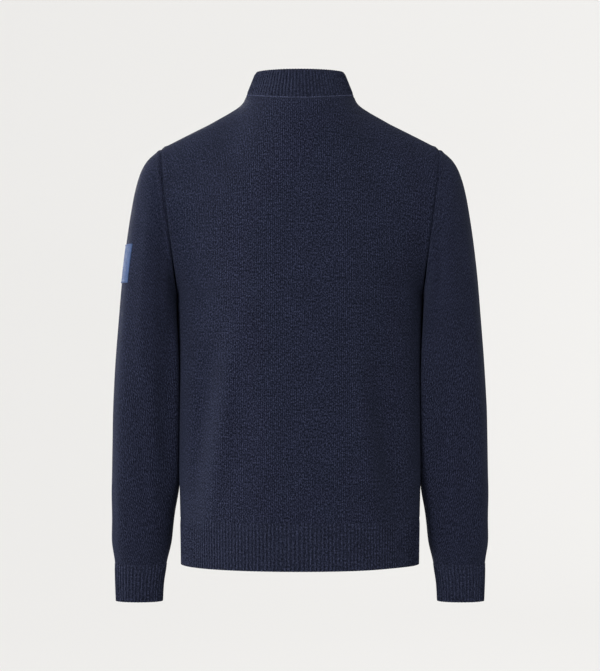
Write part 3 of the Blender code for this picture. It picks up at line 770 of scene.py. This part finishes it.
def make_cuff(name, creases):
    """The rib at the end of a sleeve, at the wearer's left."""
    columns = CUFF_RIBS * RIB_COLUMNS
    angles = (2 * math.pi / columns * np.arange(columns))[None, :]
    stations = np.linspace(CUFF_STATION, LAST_STATION, CUFF_ROWS + 1)[:, None]
    stations, angles = np.broadcast_arrays(stations, angles)
    base = sleeve(creases, stations, angles)
    normals = sleeve_normals(creases, stations, angles)
    pull_back(base, 0, 1, HALF_GAP)
    ribs = rib_profile(np.arange(columns) / RIB_COLUMNS)[None, :]
    fade = RIB_AT_SEAM + (1 - RIB_AT_SEAM) * smoothstep(run_length(base, 0) / RIB_FADE)
    outer, inner = ribbed(base, normals, ribs, fade)
    return cloth(name, outer, inner, closed=True, crest=ribs)


def make_collar(name):
    """The standing rib collar, one ring."""
    columns = COLLAR_RIBS * RIB_COLUMNS
    turns = (2 * math.pi / columns * np.arange(columns))[None, :]
    heights, turns = np.broadcast_arrays(np.linspace(0.0, 1.0, COLLAR_ROWS + 1)[:, None], turns)
    base = collar(heights, turns)
    normals = collar_normals(heights, turns)
    pull_back(base, 0, 1, SEAM_GAP)
    ribs = rib_profile(np.arange(columns) / RIB_COLUMNS)[None, :]
    at_edge = smoothstep((heights - ROLL_START) / (1 - ROLL_START))
    fade = smoothstep(heights / COLLAR_FADE) * (1 - COLLAR_EDGE_EASE * at_edge)
    outer, inner = ribbed(base, normals, ribs, fade)
    return cloth(name, outer, inner, closed=True, crest=ribs)


def make_neck_chain(name):
    """The chain of linking stitches that lies along the collar's seam."""
    steps = CHAIN_LOOPS * CHAIN_STEPS
    turn = (2 * math.pi / steps * np.arange(steps))[:, None]
    ring = (2 * math.pi / CHAIN_SIDES * np.arange(CHAIN_SIDES))[None, :]
    turn, ring = np.broadcast_arrays(turn, ring)
    seam = panel_neck_edge(turn)
    out = collar_normals(0.0, turn)
    up = unit(collar(0.1, turn) - collar(0.0, turn))
    off_sides = smoothstep(np.abs(np.cos(turn)) / CHAIN_SIDE_REACH)
    loop = CHAIN_THICKNESS + CHAIN_LOOP_HEIGHT * np.abs(np.sin(turn * CHAIN_LOOPS / 2))
    thick = loop * (CHAIN_AT_SIDES + (1 - CHAIN_AT_SIDES) * off_sides)
    lift = CHAIN_OUT * off_sides + CHAIN_SUNK * (1 - off_sides)
    middle = seam + out * lift[..., None] + up * CHAIN_UP
    outward = out * (thick * np.cos(ring))[..., None]
    points = middle + outward + up * (thick * np.sin(ring))[..., None]
    rows, columns = points.shape[:2]
    number = np.arange(rows * columns).reshape(rows, columns)
    low = np.roll(number, -1, axis=0)
    faces = np.stack([number, np.roll(number, -1, 1), np.roll(low, -1, 1), low], axis=-1)
    faces = faces.reshape(-1, 4)
    lengths = np.stack([ring * CHAIN_UNROLLED, turn * NECK_HALF_WIDTH], axis=-1).reshape(-1, 2)
    mesh = face_mesh(name, points.reshape(-1, 3), faces, lengths[faces.ravel()])
    return place_object(name, mesh)


def make_patch(name):
    """The plain woven patch, with a raised stitched border."""
    heights = np.linspace(*PATCH_Z, PATCH_CELLS[0] + 1)
    angles = np.linspace(*PATCH_ANGLES, PATCH_CELLS[1] + 1)
    search = np.linspace(ARMHOLE_FADE, CUFF_STATION, PATCH_SEARCH)
    fall = [-sleeve(LEFT_CREASES, search, angle)[:, 2] for angle in angles]
    stations = np.array([[np.interp(-z, down, search) for down in fall] for z in heights])
    angles = np.broadcast_to(angles, stations.shape)
    normals = sleeve_normals(LEFT_CREASES, stations, angles)
    under = sleeve(LEFT_CREASES, stations, angles) + normals * PATCH_LIFT
    across = run_length(under, 1)
    down = run_length(under, 0)
    to_side = np.minimum(across, across[:, -1:] - across)
    to_edge = np.minimum(to_side, np.minimum(down, down[-1:] - down))
    half_border = PATCH_BORDER / 2
    border = np.sqrt(np.clip(1 - np.abs(to_edge - half_border) / half_border, 0.0, 1.0))
    thick = PATCH_THICKNESS * (PATCH_MIDDLE + PATCH_RIM * border)
    return cloth(name, under + normals * thick[..., None], under, closed=False)


class Nodes:
    """A short way to build a material's nodes."""

    def __init__(self, name):
        self.material = bpy.data.materials.new(name)
        self.material.use_nodes = True
        self.tree = self.material.node_tree
        self.shader = self.tree.nodes["Principled BSDF"]

    def add(self, kind, links=(), **values):
        node = self.tree.nodes.new(kind)
        for name, value in values.items():
            setattr(node, name, value)
        for socket, source in dict(links).items():
            self.feed(node.inputs[socket], source)
        return node

    def feed(self, socket, source):
        if hasattr(source, "node"):
            self.tree.links.new(source, socket)
        else:
            socket.default_value = source

    def calc(self, operation, first, second=0.0, third=0.0):
        """A step of arithmetic, by the name that the math node gives it."""
        links = {0: first, 1: second, 2: third}
        return self.add("ShaderNodeMath", links, operation=operation).outputs[0]

    def noise(self, vector, scale, detail, roughness):
        links = {"Vector": vector, "Scale": scale, "Detail": detail, "Roughness": roughness}
        return self.add("ShaderNodeTexNoise", links).outputs["Fac"]

    def stretch(self, vector, x, y):
        links = {0: vector, 1: (x, y, 1.0)}
        return self.add("ShaderNodeVectorMath", links, operation="MULTIPLY").outputs[0]

    def ramp(self, value, stops, colours):
        node = self.add("ShaderNodeValToRGB", {"Fac": value})
        elements = node.color_ramp.elements
        while len(elements) < len(stops):
            elements.new(1.0)
        for element, position, colour in zip(elements, stops, colours):
            element.position = position
            element.color = (*colour, 1.0)
        return node.outputs["Color"]

    def multiply(self, first, second):
        """One colour times another: sockets 6 and 7 of the mix node, out of socket 2."""
        node = self.add("ShaderNodeMix", data_type="RGBA", blend_type="MULTIPLY")
        self.feed(node.inputs["Factor"], 1.0)
        self.feed(node.inputs[6], first)
        self.feed(node.inputs[7], second)
        return node.outputs[2]

    def complete(self, colour, settings, height=None, bump=0.0, depth=0.0):
        """Sets the shader's colour and settings, and a bump where there is a height."""
        self.feed(self.shader.inputs["Base Color"], colour)
        for name, value in settings.items():
            self.feed(self.shader.inputs[name], value)
        if height is not None:
            links = {"Strength": bump, "Distance": depth, "Height": height}
            self.feed(self.shader.inputs["Normal"], self.add("ShaderNodeBump", links).outputs[0])
        return self.material


def stitches(nodes, flat, on_ribs):
    """The height of the V-shaped stitches: on ribs their columns are the ribs' crests."""
    parts = nodes.add("ShaderNodeSeparateXYZ", {0: flat}).outputs
    wander = nodes.noise(flat, *WANDER)
    if on_ribs:
        crest = nodes.add("ShaderNodeAttribute", attribute_name="crest").outputs["Fac"]
        from_middle = nodes.calc("MULTIPLY_ADD", crest, -0.5, 0.5)
    else:
        column_wander = nodes.calc("MULTIPLY", wander, COLUMN_WANDER)
        column = nodes.calc("MULTIPLY_ADD", parts[0], 1 / WALE, column_wander)
        across = nodes.calc("SUBTRACT", nodes.calc("FRACT", column), 0.5)
        from_middle = nodes.calc("ABSOLUTE", across)
    row_wander = nodes.calc("MULTIPLY", wander, COURSE_WANDER)
    row = nodes.calc("MULTIPLY_ADD", parts[1], 1 / COURSE, row_wander)
    legs = nodes.calc("ADD", row, nodes.calc("MULTIPLY", from_middle, STITCH_SLANT))
    turn = nodes.calc("COSINE", nodes.calc("MULTIPLY", legs, 2 * math.pi))
    wave = nodes.calc("MULTIPLY_ADD", turn, 0.5, 0.5)
    slope = nodes.calc("POWER", nodes.calc("MULTIPLY", from_middle, 2.0), STITCH_ROUNDNESS)
    ridge = nodes.calc("SUBTRACT", 1.0, slope)
    return nodes.calc("MULTIPLY", ridge, nodes.calc("MULTIPLY_ADD", wave, STITCH_GAP, 1 - STITCH_GAP))


def knit(name, colours, stitch_depth, on_ribs):
    """Knitted melange wool: columns of V-shaped stitches in a yarn of dark and light fibres, with
    painted shade that darkens the yarn's colour in the furrows between stitches.
    """
    nodes = Nodes(name)
    flat = nodes.add("ShaderNodeUVMap", uv_map="flat").outputs[0]
    stitch = stitches(nodes, flat, on_ribs)
    fibres = nodes.noise(flat, *FIBRES)
    specks = nodes.noise(nodes.stretch(flat, *SPECK_STRETCH), *SPECKS)
    clouds = nodes.noise(flat, *CLOUDS)
    yarn = nodes.calc("MULTIPLY_ADD", fibres, 0.5, nodes.calc("MULTIPLY", specks, 0.5))
    contrast, least = RIB_SHADE if on_ribs else JERSEY_SHADE
    # Painted shade: the yarn's colour is darker where a stitch is low, in the furrows between stitches
    # and ribs; the clouds add random tone
    shade = nodes.calc("MULTIPLY_ADD", stitch, contrast, least)
    cloudy = nodes.calc("MULTIPLY_ADD", clouds, CLOUD_CONTRAST, 1 - CLOUD_CONTRAST / 2)
    shade = nodes.calc("MULTIPLY", shade, cloudy)
    stitch_shade_and_clouds = nodes.add("ShaderNodeCombineColor", {0: shade, 1: shade, 2: shade}).outputs[0]
    colour = nodes.multiply(nodes.ramp(yarn, FIBRE_STOPS, colours), stitch_shade_and_clouds)
    height = nodes.calc("MULTIPLY_ADD", nodes.noise(flat, *FUZZ), FUZZ_HEIGHT, stitch)
    return nodes.complete(colour, WOOL, height, WOOL_BUMP, stitch_depth)


def woven(name, colours):
    """Fine plain weave with a satin look, for the patch."""
    nodes = Nodes(name)
    flat = nodes.add("ShaderNodeUVMap", uv_map="flat").outputs[0]
    parts = nodes.add("ShaderNodeSeparateXYZ", {0: flat}).outputs
    warp = nodes.calc("SINE", nodes.calc("MULTIPLY", parts[0], 2 * math.pi / THREAD_PITCH))
    weft = nodes.calc("SINE", nodes.calc("MULTIPLY", parts[1], 2 * math.pi / THREAD_PITCH))
    weave = nodes.calc("MULTIPLY", warp, weft)
    value = nodes.calc("MULTIPLY_ADD", weave, THREAD_CONTRAST, nodes.noise(flat, *THREADS))
    colour = nodes.ramp(value, EVEN_STOPS, colours)
    return nodes.complete(colour, SATIN, weave, SATIN_BUMP, THREAD_DEPTH)


def backdrop(name, colour):
    """Pale matt paint with a faint unevenness."""
    nodes = Nodes(name)
    place = nodes.add("ShaderNodeTexCoord").outputs["Object"]
    darker = [BACKDROP_SHADE * part for part in colour]
    tint = nodes.ramp(nodes.noise(place, *PAINT), EVEN_STOPS, (darker, colour))
    return nodes.complete(tint, MATT)


def make_studio():
    """A round sweep: a pale floor that curves up into the wall on every side."""
    rise = np.linspace(0.0, math.pi / 2, SWEEP_BEND_ROWS)
    radii = [*FLOOR_RINGS, *(FLOOR_RADIUS + FLOOR_BEND * np.sin(rise)), FLOOR_RADIUS + FLOOR_BEND]
    heights = [0.0] * len(FLOOR_RINGS) + [*(FLOOR_BEND * (1 - np.cos(rise))), WALL_TOP]
    turns = 2 * math.pi / SWEEP_SIDES * np.arange(SWEEP_SIDES)
    points = []
    for radius, height in zip(radii, heights):
        level = FLOOR_Z + height
        points += [(radius * math.cos(turn), radius * math.sin(turn), level) for turn in turns]
    number = np.arange(len(points)).reshape(len(radii), SWEEP_SIDES)
    turned = np.roll(number, -1, axis=1)
    faces = np.stack([number[:-1], turned[:-1], turned[1:], number[1:]], axis=-1).reshape(-1, 4)
    mesh = bpy.data.meshes.new("sweep")
    mesh.from_pydata(points, [], faces.tolist())
    mesh.validate()
    mesh.shade_smooth()
    made = place_object("sweep", mesh)
    made.visible_diffuse = False
    made.visible_glossy = False
    made.visible_shadow = False
    mesh.materials.append(backdrop("pale_paint", BACKDROP_COLOUR))


def add_lamp(name, place, width, watts):
    """A round soft lamp, turned towards the garment."""
    data = bpy.data.lights.new(name, "AREA")
    data.shape = "DISK"
    data.size = width
    data.energy = watts
    data.spread = LIGHT_SPREAD
    light = place_object(name, data)
    light.location = place
    light.rotation_euler = (Vector(LIGHT_TARGET) - Vector(place)).to_track_quat("-Z", "Y").to_euler()


def make_light():
    """Even light from all round, a little brighter from the wearer's left, and three soft lamps."""
    world = bpy.data.worlds.new("studio")
    world.use_nodes = True
    tree = world.node_tree
    shader = tree.nodes["Background"]
    shader.inputs["Color"].default_value = WORLD_COLOUR
    direction = tree.nodes.new("ShaderNodeTexCoord").outputs["Generated"]
    towards = tree.nodes.new("ShaderNodeVectorMath")
    towards.operation = "DOT_PRODUCT"
    towards.inputs[1].default_value = WORLD_BRIGHT_SIDE
    tree.links.new(direction, towards.inputs[0])
    strength = tree.nodes.new("ShaderNodeMath")
    strength.operation = "MULTIPLY_ADD"
    strength.inputs[1].default_value = WORLD_STRENGTH * WORLD_SLOPE
    strength.inputs[2].default_value = WORLD_STRENGTH
    tree.links.new(towards.outputs["Value"], strength.inputs[0])
    tree.links.new(strength.outputs[0], shader.inputs["Strength"])
    bpy.context.scene.world = world
    for name, place, width, watts in LIGHTS:
        add_lamp(name, place, width, watts)


def make_camera():
    """Straight at the garment's back, level with its middle."""
    data = bpy.data.cameras.new("camera")
    data.sensor_width = 36.0
    data.lens = CAMERA_LENS
    camera = place_object("camera", data)
    camera.location = CAMERA_PLACE
    towards = Vector((0.0, -1.0, 0.0))
    camera.rotation_euler = towards.to_track_quat("-Z", "Y").to_euler()
    bpy.context.scene.camera = camera


bpy.context.scene.view_settings.view_transform = "Standard"
make_camera()
make_light()
make_studio()

jersey = knit("jersey_knit", JERSEY_YARN, stitch_depth=0.0009, on_ribs=False)
rib = knit("rib_knit", RIB_YARN, stitch_depth=0.0007, on_ribs=True)
# painted highlight: the chain's lighter yarn stands in for light on its raised ridge
linking = knit("linking_yarn_painted_highlight", LINKING_YARN_PAINTED_HIGHLIGHT, stitch_depth=0.0003, on_ribs=False)
blue_weave = woven("blue_weave", PATCH_THREADS)

pieces = {
    "back_panel": (make_panel("back_cloth", 1), jersey, "jersey"),
    "front_panel": (make_panel("front_cloth", -1), jersey, "jersey"),
    "sleeve_left": (make_sleeve("sleeve_cloth_left", LEFT_CREASES), jersey, "jersey"),
    "sleeve_right": (mirror(make_sleeve("sleeve_cloth_right", RIGHT_CREASES)), jersey, "jersey"),
    "hem_back": (make_hem("hem_rib_back", 1), rib, "rib"),
    "hem_front": (make_hem("hem_rib_front", -1), rib, "rib"),
    "cuff_left": (make_cuff("cuff_rib_left", LEFT_CREASES), rib, "rib"),
    "cuff_right": (mirror(make_cuff("cuff_rib_right", RIGHT_CREASES)), rib, "rib"),
    "collar": (make_collar("collar_rib"), rib, "rib"),
    "sleeve_patch": (make_patch("patch_weave"), blue_weave, "patch"),
}
for node, (piece, material, slot) in pieces.items():
    piece.data.materials.append(material)
    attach(piece, "root")
    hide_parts(node)
chain = make_neck_chain("neck_chain")
chain.data.materials.append(linking)
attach(chain, "root")
